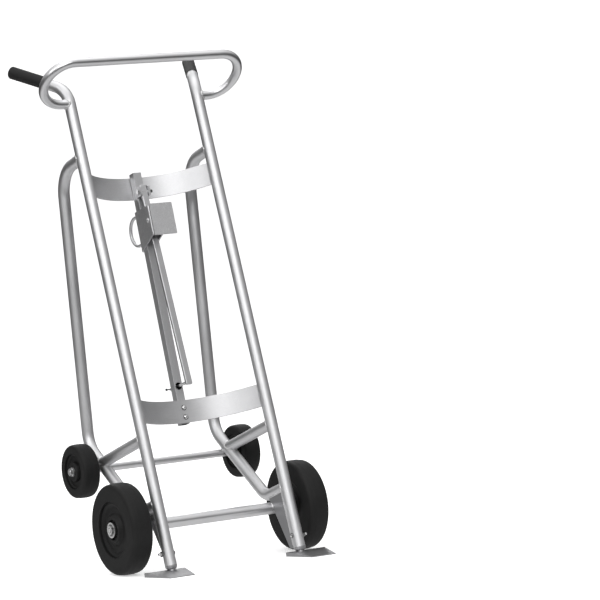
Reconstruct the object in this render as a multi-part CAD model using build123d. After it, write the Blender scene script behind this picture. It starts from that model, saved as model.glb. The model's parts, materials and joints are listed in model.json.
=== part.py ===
"""Four-wheel drum hand truck with a sliding chime hook.

Frame of the model: millimetres, +X to the right as seen from the drum side, -Y towards the drum,
+Z up. The origin is on the floor under the middle of the whole truck. The truck stands upright, with
its toe plates flat and its main wheels on the floor.
"""
from build123d import *
import math
import os

# ---------------------------------------------------------------- driving dimensions
RAIL_OD = 33.4  # 1 inch pipe
RAIL_WALL = 3.4
BRACE_OD = 31.75
BRACE_WALL = 3.2
LOOP_OD = 26.7  # 3/4 inch pipe
LOOP_WALL = 2.9

RAIL_X = 205.3  # rails and rear tubes, from the middle plane
RAIL_LEAN = 15.93  # degrees, the rails lean back
FOOT_Y = -233.65  # where the rails' axes reach the toe plates; centres the box on the origin
FOOT_Z = 12.0
RAIL_START = 10.5  # the tube's lower end, along the rail from the foot

# handle ends of the rails
HANDLE_CORNER = 1387.1  # along the rail from the foot
HANDLE_SPLAY = 0.478  # sideways run per unit run backwards
HANDLE_RISE = 0.383  # upward run per unit run backwards
HANDLE_BEND = 76.2
HANDLE_LENGTH = 199.0  # from the corner to the tube's end
GRIP_LENGTH = 138.0
GRIP_WALL = 1.2
GRIP_CAP = 4.0

# loop handle
LOOP_HALF = 232.0  # half of the straight top bar
LOOP_BEND = 76.2
LOOP_BAR_Y = 262.5  # the top bar, back from and above the foot
LOOP_BAR_Z = 1404.7
LOOP_TILT = 43.5  # degrees from vertical, the loop leans forward

# rear tubes, in the plane of each rail; heights and depths are from the foot
LEG_TOP = 1186.6  # along the rail, where the top leg is welded
LEG_BOTTOM = 184.1  # along the rail, where the bottom leg is welded
RUN_LEAN = 1.92  # degrees, the long run leans back
RUN_Y = 433.2  # the long run's axis at RUN_Z
RUN_Z = 428.0
DIAGONAL_SLOPE = 34.2  # degrees below the horizontal, running forward
DIAGONAL_Y = 320.0
DIAGONAL_Z = 253.5
TOP_BEND = 88.9
KNEE_BEND = 76.2
BOTTOM_BEND = 60.0
BRACE_AT = 368.6  # along the rail, the brace's axis

# axles and wheels
MAIN_WHEEL_R = 127.0
MAIN_WHEEL_W = 63.0
MAIN_WHEEL_X = 281.4
MAIN_AXLE_Y = 125.6  # back from the foot
MAIN_AXLE_D = 19.05
MAIN_STUB_D = 15.875  # turned end that carries the nut
MAIN_STUB_PROUD = 0.9  # past the nut
MAIN_WASHER_D = 43.0
MAIN_NUT_AF = 23.8
MAIN_NUT_H = 4.2
MAIN_TUBE_ID = 26.6
MAIN_SLEEVE = 30.0  # sleeve in each end of the axle tube
REAR_WHEEL_R = 76.2
REAR_WHEEL_W = 50.8
REAR_WHEEL_X = 261.0
REAR_AXLE_Y = 385.6
REAR_AXLE_D = 15.875
REAR_STUB_D = 12.7
REAR_STUB_PROUD = 2.0
REAR_WASHER_D = 26.0
REAR_NUT_AF = 19.05
REAR_NUT_H = 6.5
REAR_TUBE_OD = 22.2
REAR_TUBE_ID = 16.1
AXLE_RUN = 0.075  # radial running clearance of a bearing on its axle
END_PLAY = 0.35  # gap between a wheel and its washers
WASHER_T = 3.0

# gusset plates
GUSSET_T = 6.35
GUSSET_INSET = 9.5  # its middle plane, inwards from the rails' axes
GUSSET_REACH_Y = 135.5  # the back corner under the bottom leg, from the foot
GUSSET_TIP_Y = 34.5
GUSSET_TIP_Z = 6.5

# toe plates
TOE_OUT = 82.6  # outward from the rail's axis
TOE_IN = 44.1
TOE_TAPER = 25.7  # each side, at the front edge
TOE_FRONT = 94.5  # forward from the foot
TOE_BACK = 6.0
TOE_THICK = 11.7  # at the back edge
TOE_EDGE = 2.6  # thickness at the front edge
NECK_D = 18.0
SHOULDER_STEP = 0.2  # the shoulder under the tube, smaller than the tube's radius
BULGE_OUT = 0.78  # where the shoulder's round side passes, as parts of its widening
BULGE_UP = 0.36  # and of its height
SPIGOT_LENGTH = 62.0
TOE_BOLT_D = 7.94
TOE_BOLT_AT = 45.0  # along the rail from the foot
TOE_BOLT_HEAD_D = 15.0
TOE_BOLT_HEAD_H = 4.0
TOE_NUT_AF = 12.7
TOE_NUT_H = 7.0
TOE_BOLT_REACH = 14.5  # past the rail's outer side
TOE_BOLT_ROUND = 2.4

# bands
BAND_R = 240.5  # inner face
BAND_DEPTH = 105.7  # the inner face's middle, square back from the rails' axes
BAND_T = 4.8
BAND_H = 65.0
LOWER_BAND = 454.7  # middle of each band, along the rails from the foot
UPPER_BAND = 1113.7
SCREW_PITCH = 27.0
SCREW_DROP = 2.8  # the pair of screws, below the band's middle
SCREW_D = 6.35
SCREW_HEAD_D = 16.0
SCREW_HEAD_H = 4.6
SCREW_SLOT_W = 2.2
SCREW_PROUD = 3.5  # past the guide bar's wall, inside it
SCREW_TURNS = {-1: -60.0, 1: -42.0}  # slot of the lower and upper screw of a pair, from level

# guide bar
BAR_SIDE = 25.4
BAR_WALL = 3.2
BAR_EDGE = 0.8
BAR_BELOW = 2.0  # past the lower band
BAR_ABOVE = 8.0  # past the upper band
ROD_HOLE_D = 21.0  # in the front wall
ROD_EXIT_D = 16.0  # in the back wall
ROD_HOLE_AT = 530.0  # along the rails from the foot

# lock bar and its clevis
PIVOT_AT = 1093.0  # along the rails from the foot
PIVOT_OFFSET = 30.0  # in front of the guide bar's axis
LOCK_W = 20.0
LOCK_T = 9.525
LOCK_ANGLE = 4.38  # degrees away from the guide bar at rest
LOCK_ABOVE = 20.0
LOCK_EDGE = 2.6
LOCK_CORNER = 3.0
LOCK_BELOW = 574.0
EAR_T = 4.8
EAR_ROUND = 5.0
CLEVIS_BASE_T = 5.0
EAR_GAP = 0.8
EAR_DOWN = 13.5
EAR_UP = 16.5
EAR_REACH = 41.0  # from the guide bar's axis
BOLT_D = 9.525
BOLT_AF = 14.29
BOLT_HEAD_H = 6.2
BOLT_NUT_H = 8.3
BOLT_PROUD = 2.5  # past the nut
ROD_D = 8.5
ROD_FROM_END = 8.5
ROD_SEAT = 4.0  # let into the lock bar's back
ROD_TIP = 109.0  # from the lock bar's axis; square to the guide bar at rest
COTTER_D = 3.2
COTTER_SPAN = 36.0
COTTER_FROM_TIP = 7.5

# carriage; distances below the pivot and in front of the guide bar's axis
SLEEVE_TOP = 49.5
SLEEVE_BACK_BOTTOM = 165.6
SLEEVE_FRONT_BOTTOM = 133.0
SLEEVE_FRONT = 69.0
SLEEVE_T = 4.0
SLEEVE_FIT = 1.1  # gap each side of the guide bar
SLEEVE_CORNER = 5.5
PIN_A = 53.7
PIN_B = 89.6
PIN_D = 9.5
PIN_HEAD_D = 13.5
PIN_HEAD_H = 4.0
NECK_T = 9.5
NECK_TOP = 58.5
NECK_BOTTOM = 130.5
NECK_LENGTH = 38.0
BLADE_W = 72.0
BLADE_T = 4.8
BLADE_TOP = 54.5
BLADE_BOTTOM = 145.5
BLADE_CORNER = 2.0
LOOP_ROD_D = 9.5
PULL_TOP = 56.6
PULL_BOTTOM = 138.1
PULL_REACH = 78.0

# ---------------------------------------------------------------- frames worked out from them
SIDES = {"left": -1, "right": 1}
RAIL_R = RAIL_OD / 2
lean = math.radians(RAIL_LEAN)
RAIL_DIR = Vector(0, math.sin(lean), math.cos(lean))
RAIL_BACK = Vector(0, math.cos(lean), -math.sin(lean))
FOOT = Vector(0, FOOT_Y, FOOT_Z)
RAIL_FRAME = Location((0, FOOT_Y, FOOT_Z), (-RAIL_LEAN, 0, 0))

band_low = LOWER_BAND + BAND_H / 2
band_high = UPPER_BAND - BAND_H / 2
corner_rise = BAND_R - math.sqrt(BAND_R**2 - (BAR_SIDE / 2) ** 2)
front_low = BAND_DEPTH + BAND_T  # the guide bar's front face at the lower band
back_high = BAND_DEPTH - corner_rise  # its back face at the upper band
BAR_TILT = math.degrees(math.atan2(front_low - (back_high - BAR_SIDE), band_high - band_low))
BAR_LEAN = RAIL_LEAN - BAR_TILT


def in_rail_frame(along, back, x=0.0):
    """A point given along the rails from the foot, and square back from their plane."""
    return (RAIL_FRAME * Location((x, back, along))).position


def bar_axis_depth(along):
    """How far the guide bar's axis is behind the rails' plane, at a distance along the rails."""
    tilt = math.radians(BAR_TILT)
    return front_low + BAR_SIDE / 2 / math.cos(tilt) - (along - band_low) * math.tan(tilt)


PIVOT_FOOT = in_rail_frame(PIVOT_AT, bar_axis_depth(PIVOT_AT))
# local frame of the guide bar: origin on its axis level with the pivot, z up the bar, y backwards
BAR_FRAME = Location(tuple(PIVOT_FOOT), (-BAR_LEAN, 0, 0))
# local frame of the lock bar: origin on the pivot, z up the lock bar
LOCK_FRAME = BAR_FRAME * Location((0, -PIVOT_OFFSET, 0), (-LOCK_ANGLE, 0, 0))
AXLE_FRAME = (0, 90, 0)  # turns a shape's z axis to x


# ---------------------------------------------------------------- helpers
def bent_path(points, radii):
    """A line through the points with a tangent arc of the given radius at each inner corner."""
    points = [Vector(*p) for p in points]
    edges = []
    start = points[0]
    for before, corner, after, radius in zip(points, points[1:], points[2:], radii):
        arriving = (before - corner).normalized()
        leaving = (after - corner).normalized()
        half = math.acos(arriving.dot(leaving)) / 2
        inward = (arriving + leaving).normalized()
        reach = radius / math.tan(half)
        arc_start = corner + arriving * reach
        arc_middle = corner + inward * (radius / math.sin(half) - radius)
        arc_end = corner + leaving * reach
        edges.append(Line(start, arc_start))
        edges.append(ThreePointArc(arc_start, arc_middle, arc_end))
        start = arc_end
    edges.append(Line(start, points[-1]))
    return Wire(edges)


def bar_along(path, diameter):
    """A round bar whose axis is the path."""
    section = Plane(origin=path @ 0, z_dir=path % 0) * Circle(diameter / 2)
    return sweep(section, path=path)


def rod(start, end, diameter):
    """A straight round bar between two points."""
    run = Vector(*end) - Vector(*start)
    section = Plane(origin=start, z_dir=run.normalized()) * Circle(diameter / 2)
    return extrude(section, run.length)


def drum_x(x_from, x_to, diameter, y, z):
    """A cylinder lying along X."""
    return rod((x_from, y, z), (x_to, y, z), diameter)


def hexagon(across_flats, height, bore=0.0):
    """A hexagonal nut or head with eased corners, from z = 0 up."""
    corner_d = across_flats / math.cos(math.pi / 6)
    blank = extrude(RegularPolygon(across_flats / 2, 6, major_radius=False), height)
    ease = (corner_d - across_flats) / 2
    turned = Pos(0, 0, height / 2) * Cylinder(corner_d / 2, height)
    turned = chamfer(turned.edges().filter_by(GeomType.CIRCLE), ease * 0.5, ease * 0.95)
    nut = blank & turned
    if bore:
        nut -= Pos(0, 0, height / 2) * Cylinder(bore / 2, 2 * height)
    return nut


def ring(outer, inner, thickness):
    """A washer or sleeve from z = 0 up."""
    return extrude(Circle(outer / 2) - Circle(inner / 2), thickness)


def mirrored(shape):
    return mirror(shape, about=Plane.YZ)


def dome(diameter, height):
    """A low round head, from z = 0 up."""
    cap_r = (diameter**2 / 4 + height**2) / (2 * height)
    ball = Pos(0, 0, height - cap_r) * Sphere(cap_r)
    return ball & Pos(0, 0, height / 2) * Cylinder(diameter / 2, height)


def round_shoulder(low_r, high_r, height):
    """A bulging turned shoulder that widens from one radius to another, from z = 0 up."""
    bulge = Vector(low_r + BULGE_OUT * (high_r - low_r), 0, BULGE_UP * height)
    outer = ThreePointArc((low_r, 0, 0), bulge, (high_r, 0, height))
    rest = Polyline((high_r, 0, height), (0, 0, height), (0, 0, 0), (low_r, 0, 0))
    return revolve(make_face(Wire([outer, *rest.edges()])), axis=Axis.Z)


def revolve_profile(points):
    """A ring about X from a closed outline of (x, radius) points."""
    outline = make_face(Polyline(*[(x, 0, r) for x, r in points], close=True))
    return revolve(outline, axis=Axis.X)


parts = {}


def add(name, shape):
    parts[name] = shape


# ---------------------------------------------------------------- frame of tubes
def rail_path(side):
    foot = FOOT + Vector(side * RAIL_X, 0, 0)
    corner = foot + RAIL_DIR * HANDLE_CORNER
    handle = Vector(side * HANDLE_SPLAY, 1, HANDLE_RISE).normalized()
    start = foot + RAIL_DIR * RAIL_START
    return [start, corner, corner + handle * HANDLE_LENGTH], handle


def rear_corners():
    """Corners of a rear tube in (y, z) from the foot: top weld, top, knee, bottom, bottom weld."""
    run = math.tan(math.radians(RUN_LEAN))
    fall = math.tan(math.radians(DIAGONAL_SLOPE))
    square = math.tan(lean)
    top = Vector(LEG_TOP * math.sin(lean), LEG_TOP * math.cos(lean))
    bottom = Vector(LEG_BOTTOM * math.sin(lean), LEG_BOTTOM * math.cos(lean))
    # a leg is z = weld.Y - square * (y - weld.X); the run is y = RUN_Y + run * (z - RUN_Z)
    top_y = (RUN_Y + run * (top.Y + square * top.X - RUN_Z)) / (1 + run * square)
    top_corner = Vector(top_y, top.Y - square * (top_y - top.X))
    # the diagonal is z = DIAGONAL_Z + fall * (y - DIAGONAL_Y)
    knee_y = (RUN_Y + run * (DIAGONAL_Z - fall * DIAGONAL_Y - RUN_Z)) / (1 - run * fall)
    knee = Vector(knee_y, DIAGONAL_Z + fall * (knee_y - DIAGONAL_Y))
    low_y = (bottom.Y + square * bottom.X - DIAGONAL_Z + fall * DIAGONAL_Y) / (fall + square)
    low = Vector(low_y, bottom.Y - square * (low_y - bottom.X))
    return [top, top_corner, knee, low, bottom]


def at_side(side, point):
    return (side * RAIL_X, FOOT_Y + point.X, FOOT_Z + point.Y)


fall_rad = math.radians(DIAGONAL_SLOPE)
MAIN_AXLE = (FOOT_Y + MAIN_AXLE_Y, MAIN_WHEEL_R)
diagonal_z = DIAGONAL_Z + math.tan(fall_rad) * (REAR_AXLE_Y - DIAGONAL_Y)
rear_axle_drop = (RAIL_R + REAR_TUBE_OD / 2) / math.cos(fall_rad)
REAR_AXLE = (FOOT_Y + REAR_AXLE_Y, FOOT_Z + diagonal_z - rear_axle_drop)
MAIN_TUBE_END = MAIN_WHEEL_X - MAIN_WHEEL_W / 2 - END_PLAY - WASHER_T
REAR_TUBE_END = REAR_WHEEL_X - REAR_WHEEL_W / 2 - END_PLAY - WASHER_T

main_tube_solid = drum_x(-MAIN_TUBE_END, MAIN_TUBE_END, RAIL_OD, *MAIN_AXLE)
rear_tube_solid = drum_x(-REAR_TUBE_END, REAR_TUBE_END, REAR_TUBE_OD, *REAR_AXLE)


def make_side_frame(name, side, toe):
    """One rail with its grip, rear tube, brace and gusset. Returns the rail's outer solid."""
    points, handle = rail_path(side)
    path = bent_path(points, [HANDLE_BEND])
    rail_solid = bar_along(path, RAIL_OD)
    bore = bar_along(path, RAIL_OD - 2 * RAIL_WALL)
    bolt_at = in_rail_frame(TOE_BOLT_AT, 0, side * RAIL_X)
    bolt_hole = drum_x(bolt_at.X - RAIL_OD, bolt_at.X + RAIL_OD, TOE_BOLT_D, bolt_at.Y, bolt_at.Z)
    add(name + "_rail", rail_solid - bore - bolt_hole)

    end = points[-1]
    grip_start = end - handle * (GRIP_LENGTH - GRIP_CAP)
    grip = rod(grip_start, end + handle * GRIP_CAP, RAIL_OD + 2 * GRIP_WALL)
    far_rim = grip.edges().sort_by(Axis(tuple(end), tuple(handle)))[-1]
    grip = fillet(far_rim, GRIP_CAP * 0.9)
    add(name + "_grip", grip - rod(grip_start, end, RAIL_OD))

    corners = [at_side(side, p) for p in rear_corners()]
    rear_path = bent_path(corners, [TOP_BEND, KNEE_BEND, BOTTOM_BEND])
    rear_solid = bar_along(rear_path, RAIL_OD) - rail_solid
    rear_bore = bar_along(rear_path, RAIL_OD - 2 * RAIL_WALL)
    add(name + "_rear_tube", rear_solid - rear_bore)

    brace_start = in_rail_frame(BRACE_AT, 0, side * RAIL_X)
    knee = rear_corners()[2]
    brace_end = brace_start + RAIL_BACK * (knee.X - BRACE_AT * math.sin(lean))
    brace = rod(brace_start, brace_end, BRACE_OD) - rod(brace_start, brace_end, BRACE_OD - 2 * BRACE_WALL)
    rear_full = bar_along(rear_path, RAIL_OD)
    brace = brace - rail_solid - rear_full
    add(name + "_brace", brace.solids().sort_by(SortBy.VOLUME)[-1])

    add(name + "_gusset", gusset(side, [rail_solid, rear_full, main_tube_solid, toe]))
    return rail_solid


def gusset(side, neighbours):
    """The plate that fills the corner between the rail, the bottom leg and the axle tube."""
    leg = Vector(LEG_BOTTOM * math.sin(lean), LEG_BOTTOM * math.cos(lean))
    reach_z = leg.Y - math.tan(lean) * (GUSSET_REACH_Y - leg.X)
    tip_along = (GUSSET_TIP_Z + FOOT_Z) / math.cos(lean)
    tip = Vector(tip_along * math.sin(lean), GUSSET_TIP_Z)
    outline = [leg, Vector(GUSSET_REACH_Y, reach_z), Vector(GUSSET_TIP_Y, GUSSET_TIP_Z), tip]
    plane_x = side * (RAIL_X - GUSSET_INSET)
    corners = [(plane_x, FOOT_Y + p.X, FOOT_Z + p.Y) for p in outline]
    plate = extrude(make_face(Polyline(*corners, close=True)), GUSSET_T / 2, both=True)
    for neighbour in neighbours:
        plate = plate - neighbour
    return plate.solids().sort_by(SortBy.VOLUME)[-1]


def make_loop(rails):
    """The loop handle: a straight top bar whose ends turn back to the rails' outer sides."""
    tilt = math.radians(LOOP_TILT)
    down = Vector(0, math.sin(tilt), -math.cos(tilt))
    bar = FOOT + Vector(0, LOOP_BAR_Y, LOOP_BAR_Z)

    def loop_point(x, across):
        return bar + Vector(x, 0, 0) + down * (across * LOOP_BEND)

    edges = [Line(loop_point(-LOOP_HALF, 0), loop_point(LOOP_HALF, 0))]
    for side in (-1, 1):
        start = loop_point(side * LOOP_HALF, 0)
        middle = loop_point(side * (LOOP_HALF + LOOP_BEND), 1)
        end = loop_point(side * LOOP_HALF, 2)
        edges.append(ThreePointArc(start, middle, end))
        edges.append(Line(end, loop_point(side * RAIL_X, 2)))
    path = Wire(edges)
    loop = bar_along(path, LOOP_OD) - bar_along(path, LOOP_OD - 2 * LOOP_WALL)
    for rail_solid in rails:
        loop = loop - rail_solid
    add("loop_handle", loop.solids().sort_by(SortBy.VOLUME)[-1])


# ---------------------------------------------------------------- toes
def make_toe(name, side):
    """A forged toe: a wedge plate with a neck and a spigot that fills the rail's lower end."""
    axis_x = side * RAIL_X

    def outline(z_drop, back, front):
        outer, inner = TOE_OUT - TOE_TAPER, TOE_TAPER - TOE_IN
        points = [(-TOE_IN, back), (TOE_OUT, back), (outer, front), (inner, front)]
        return [(axis_x + side * x, FOOT_Y + y, z_drop) for x, y in points]

    plate = extrude(make_face(Polyline(*outline(0, TOE_BACK, -TOE_FRONT), close=True)), TOE_THICK)
    wedge = make_face(
        Polyline(
            (0, FOOT_Y + TOE_BACK, 0),
            (0, FOOT_Y + TOE_BACK, TOE_THICK),
            (0, FOOT_Y - TOE_FRONT, TOE_EDGE),
            (0, FOOT_Y - TOE_FRONT, 0),
            close=True,
        )
    )
    plate = plate & Pos(axis_x, 0, 0) * extrude(wedge, 2 * TOE_OUT, both=True)

    foot = in_rail_frame(0, 0, axis_x)
    collar = in_rail_frame(RAIL_START, 0, axis_x)
    sole = in_rail_frame(-FOOT_Z, 0, axis_x)
    top = in_rail_frame(RAIL_START + SPIGOT_LENGTH, 0, axis_x)
    shoulder = round_shoulder(NECK_D / 2, RAIL_R - SHOULDER_STEP, RAIL_START)
    shoulder = Plane(origin=foot, z_dir=RAIL_DIR) * shoulder
    spigot_d = RAIL_OD - 2 * RAIL_WALL
    shank = shoulder + rod(collar, top, spigot_d) + rod(sole, foot, NECK_D)
    below = Pos(axis_x, FOOT_Y, -TOE_OUT) * Box(4 * TOE_OUT, 4 * TOE_OUT, 2 * TOE_OUT)
    toe = plate + (shank - below)
    bolt_at = in_rail_frame(TOE_BOLT_AT, 0, axis_x)
    hole = drum_x(axis_x - RAIL_OD, axis_x + RAIL_OD, TOE_BOLT_D, bolt_at.Y, bolt_at.Z)
    toe = (toe - hole).solid()
    add(name + "_toe", toe)
    return toe


def cross_bolt(head_x, facing, grip, diameter, across_flats, head_h, y, z):
    """A hexagon bolt along X. Its head's bearing face is at head_x, and facing points down the shank."""
    turn = Location((head_x, y, z), (0, 90 * facing, 0))
    head = turn * Location((0, 0, 0), (180, 0, 0)) * hexagon(across_flats, head_h)
    shank = turn * Pos(0, 0, grip / 2) * Cylinder(diameter / 2, grip)
    return head + shank


def nut_at(face_x, facing, across_flats, height, bore, y, z):
    """A nut whose bearing face is at face_x and whose body goes towards facing."""
    return Location((face_x, y, z), (0, 90 * facing, 0)) * hexagon(across_flats, height, bore)


def make_toe_fasteners():
    bolts = []
    nuts = []
    for side in SIDES.values():
        at = in_rail_frame(TOE_BOLT_AT, 0, side * RAIL_X)
        inner = at.X - side * RAIL_R
        outer = at.X + side * RAIL_R
        end = outer + side * TOE_BOLT_REACH
        head = Location((inner, at.Y, at.Z), (0, -90 * side, 0)) * dome(TOE_BOLT_HEAD_D, TOE_BOLT_HEAD_H)
        shank = drum_x(*sorted((inner, end)), TOE_BOLT_D, at.Y, at.Z)
        tip = shank.edges().filter_by(GeomType.CIRCLE).sort_by(Axis.X)[-1 if side > 0 else 0]
        bolts.append(head + fillet(tip, TOE_BOLT_ROUND))
        nuts.append(nut_at(outer, side, TOE_NUT_AF, TOE_NUT_H, TOE_BOLT_D, at.Y, at.Z))
    add("toe_bolts", Compound(children=bolts))
    add("toe_nuts", Compound(children=nuts))


# ---------------------------------------------------------------- bands and guide bar
def band(middle, rails):
    """A curved back band, hollow side to the drum, trimmed where it meets the rails."""
    arc = RAIL_FRAME * Pos(0, BAND_DEPTH - BAND_R, middle - BAND_H / 2) * ring(
        2 * (BAND_R + BAND_T), 2 * BAND_R, BAND_H
    )
    keep_depth = 2 * BAND_R
    keep = RAIL_FRAME * Pos(0, keep_depth / 2, middle) * Box(2 * RAIL_X, keep_depth, 2 * BAND_H)
    shape = arc & keep
    for rail_solid in rails:
        shape = shape - rail_solid
    return shape.solids().sort_by(SortBy.VOLUME)[-1]


def round_head():
    """A slotted round head, from z = 0 up."""
    slot = Pos(0, 0, SCREW_HEAD_H) * Box(2 * SCREW_HEAD_D, SCREW_SLOT_W, SCREW_HEAD_H)
    return dome(SCREW_HEAD_D, SCREW_HEAD_H) - slot


def band_screw(along, face_depth, facing, slot_turn):
    """A slotted screw square to a band. Facing +1 has its head in front of the band, -1 behind it."""
    length = BAND_T + BAR_WALL + SCREW_PROUD
    at = RAIL_FRAME * Location((0, face_depth, along), (90 * facing, 0, 0)) * Rot(Z=slot_turn)
    return at * round_head() + at * Pos(0, 0, -length / 2) * Cylinder(SCREW_D / 2, length)


def make_bands_and_bar(rails):
    bar_bottom = LOWER_BAND - BAND_H / 2 - BAR_BELOW - PIVOT_AT
    bar_top = UPPER_BAND + BAND_H / 2 + BAR_ABOVE - PIVOT_AT
    length = bar_top - bar_bottom
    bar = Pos(0, 0, bar_bottom + length / 2) * Box(BAR_SIDE, BAR_SIDE, length)
    upright = bar.edges().filter_by(Axis.Z)
    bar = fillet(upright, BAR_EDGE)
    hollow = BAR_SIDE - 2 * BAR_WALL
    bar = bar - Pos(0, 0, bar_bottom + length / 2) * Box(hollow, hollow, 2 * length)
    bar = BAR_FRAME * bar

    hole_at = in_rail_frame(ROD_HOLE_AT, bar_axis_depth(ROD_HOLE_AT))
    hole_turn = Location(tuple(hole_at), (-BAR_LEAN - 90, 0, 0))
    bar = bar - hole_turn * Pos(0, 0, -BAR_SIDE) * Cylinder(ROD_HOLE_D / 2, 2 * BAR_SIDE)
    bar = bar - hole_turn * Pos(0, 0, BAR_SIDE) * Cylinder(ROD_EXIT_D / 2, 2 * BAR_SIDE)

    screws = []
    for place, turn in SCREW_TURNS.items():
        offset = place * SCREW_PITCH / 2 - SCREW_DROP
        screws.append(band_screw(LOWER_BAND + offset, BAND_DEPTH, 1, turn))
        screws.append(band_screw(UPPER_BAND + offset, BAND_DEPTH + BAND_T, -1, turn))
    lower = band(LOWER_BAND, rails)
    upper = band(UPPER_BAND, rails)
    for screw in screws:
        bar = bar - screw
        lower = lower - screw
        upper = upper - screw
    add("lower_band", lower)
    add("upper_band", upper)
    add("guide_bar", bar)
    add("band_screws", Compound(children=screws))


def make_clevis():
    """The welded clevis with its cross bolt, which the lock bar hangs from."""
    inner = LOCK_W / 2 + EAR_GAP
    root = BAR_SIDE / 2
    height = EAR_DOWN + EAR_UP
    middle = (EAR_UP - EAR_DOWN) / 2
    width = 2 * (inner + EAR_T)
    base = Pos(0, -root - CLEVIS_BASE_T / 2, middle) * Box(width, CLEVIS_BASE_T, height)
    ear_length = EAR_REACH - root
    clevis = base
    for side in (-1, 1):
        ear_x = side * (inner + EAR_T / 2)
        ear = Pos(ear_x, -root - ear_length / 2, middle) * Box(EAR_T, ear_length, height)
        free = ear.edges().filter_by(Axis.X).group_by(Axis.Y)[0]
        clevis = clevis + fillet(free, EAR_ROUND)
    hole = Pos(0, -PIVOT_OFFSET, 0) * Rot(Y=90) * Cylinder(BOLT_D / 2, 2 * width)
    add("clevis", BAR_FRAME * (clevis - hole))

    pivot = LOCK_FRAME.position
    head_face = -(inner + EAR_T)
    grip = width + BOLT_NUT_H + BOLT_PROUD
    add("pivot_bolt", cross_bolt(head_face, 1, grip, BOLT_D, BOLT_AF, BOLT_HEAD_H, pivot.Y, pivot.Z))
    add("pivot_nut", nut_at(-head_face, 1, BOLT_AF, BOLT_NUT_H, BOLT_D, pivot.Y, pivot.Z))


# ---------------------------------------------------------------- lock bar
def make_lock_bar():
    length = LOCK_ABOVE + LOCK_BELOW
    bar = Pos(0, 0, LOCK_ABOVE - length / 2) * Box(LOCK_W, LOCK_T, length)
    bar = fillet(bar.edges().filter_by(Axis.Y), LOCK_CORNER)
    bar = fillet(bar.edges().filter_by(Axis.Z), LOCK_EDGE)
    pivot_hole = Rot(Y=90) * Cylinder(BOLT_D / 2 + AXLE_RUN, 2 * LOCK_W)
    rod_length = ROD_TIP - LOCK_T / 2 + ROD_SEAT
    rod_frame = Location((0, 0, -LOCK_BELOW + ROD_FROM_END), (LOCK_ANGLE, 0, 0))
    lock_rod = rod_frame * Pos(0, ROD_TIP - rod_length / 2, 0) * Rot(X=90) * Cylinder(ROD_D / 2, rod_length)
    cotter_at = rod_frame * Location((0, ROD_TIP - COTTER_FROM_TIP, 0), AXLE_FRAME)
    cotter = cotter_at * Cylinder(COTTER_D / 2, COTTER_SPAN)
    add("lock_bar", LOCK_FRAME * (bar - pivot_hole - lock_rod))
    add("lock_rod", LOCK_FRAME * (lock_rod - cotter))
    add("cotter_pin", LOCK_FRAME * cotter)


# ---------------------------------------------------------------- carriage with the chime hook
def make_carriage():
    half = BAR_SIDE / 2 + SLEEVE_FIT + SLEEVE_T
    back = half
    side_view = make_face(
        Polyline(
            (0, back, -SLEEVE_TOP),
            (0, -SLEEVE_FRONT, -SLEEVE_TOP),
            (0, -SLEEVE_FRONT, -SLEEVE_FRONT_BOTTOM),
            (0, back, -SLEEVE_BACK_BOTTOM),
            close=True,
        )
    )
    depth = back + SLEEVE_FRONT
    tall = SLEEVE_BACK_BOTTOM - SLEEVE_TOP
    centre = Pos(0, (back - SLEEVE_FRONT) / 2, -(SLEEVE_TOP + SLEEVE_BACK_BOTTOM) / 2)
    outer = Box(2 * half, depth, tall)
    outer = fillet(outer.edges().filter_by(Axis.Z), SLEEVE_CORNER)
    inner = Box(2 * (half - SLEEVE_T), depth - 2 * SLEEVE_T, 2 * tall)
    inner = fillet(inner.edges().filter_by(Axis.Z), SLEEVE_CORNER - SLEEVE_T)
    sleeve = (centre * (outer - inner)) & extrude(side_view, half, both=True)

    pin_length = 2 * half
    pin = Pos(0, -PIN_A, -PIN_B) * Rot(Y=90) * Cylinder(PIN_D / 2, pin_length)
    sleeve = sleeve - pin
    for side in (-1, 1):
        pin = pin + Pos(side * half, -PIN_A, -PIN_B) * Rot(Y=90 * side) * dome(PIN_HEAD_D, PIN_HEAD_H)
    add("carriage_sleeve", BAR_FRAME * sleeve)
    add("carriage_pin", BAR_FRAME * pin)

    neck_front = SLEEVE_FRONT + NECK_LENGTH
    neck_middle = (NECK_TOP + NECK_BOTTOM) / 2
    neck = Pos(0, -(SLEEVE_FRONT + NECK_LENGTH / 2), -neck_middle) * Box(
        NECK_T, NECK_LENGTH, NECK_BOTTOM - NECK_TOP
    )
    add("hook_neck", BAR_FRAME * neck)
    blade_middle = (BLADE_TOP + BLADE_BOTTOM) / 2
    blade = Pos(0, -neck_front - BLADE_T / 2, -blade_middle) * Box(BLADE_W, BLADE_T, BLADE_BOTTOM - BLADE_TOP)
    blade = fillet(blade.edges().filter_by(Axis.Y), BLADE_CORNER)
    add("hook_blade", BAR_FRAME * blade)

    bend = (PULL_BOTTOM - PULL_TOP) / 2
    straight = back + PULL_REACH - LOOP_ROD_D / 2 - bend
    path = Wire(
        [
            Line((0, back, -PULL_TOP), (0, straight, -PULL_TOP)),
            ThreePointArc(
                (0, straight, -PULL_TOP),
                (0, straight + bend, -PULL_TOP - bend),
                (0, straight, -PULL_BOTTOM),
            ),
            Line((0, straight, -PULL_BOTTOM), (0, back, -PULL_BOTTOM)),
        ]
    )
    add("pull_loop", BAR_FRAME * bar_along(path, LOOP_ROD_D))


# ---------------------------------------------------------------- axles and wheels
def rounded_rim(half, bead_r, rim_r, tread_r, round_r):
    """Half of a tyre's outline as (x, radius): its flat sidewall, round shoulder and crowned tread."""
    ease = 1.0
    steps = 6
    outline = [(half - ease, bead_r), (half, bead_r + ease), (half, rim_r - round_r)]
    for step in range(1, steps + 1):
        turn = math.radians(90 * step / steps)
        x = half - round_r + round_r * math.cos(turn)
        outline.append((x, rim_r - round_r + round_r * math.sin(turn)))
    outline.append((half / 3, tread_r))
    return outline


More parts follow.
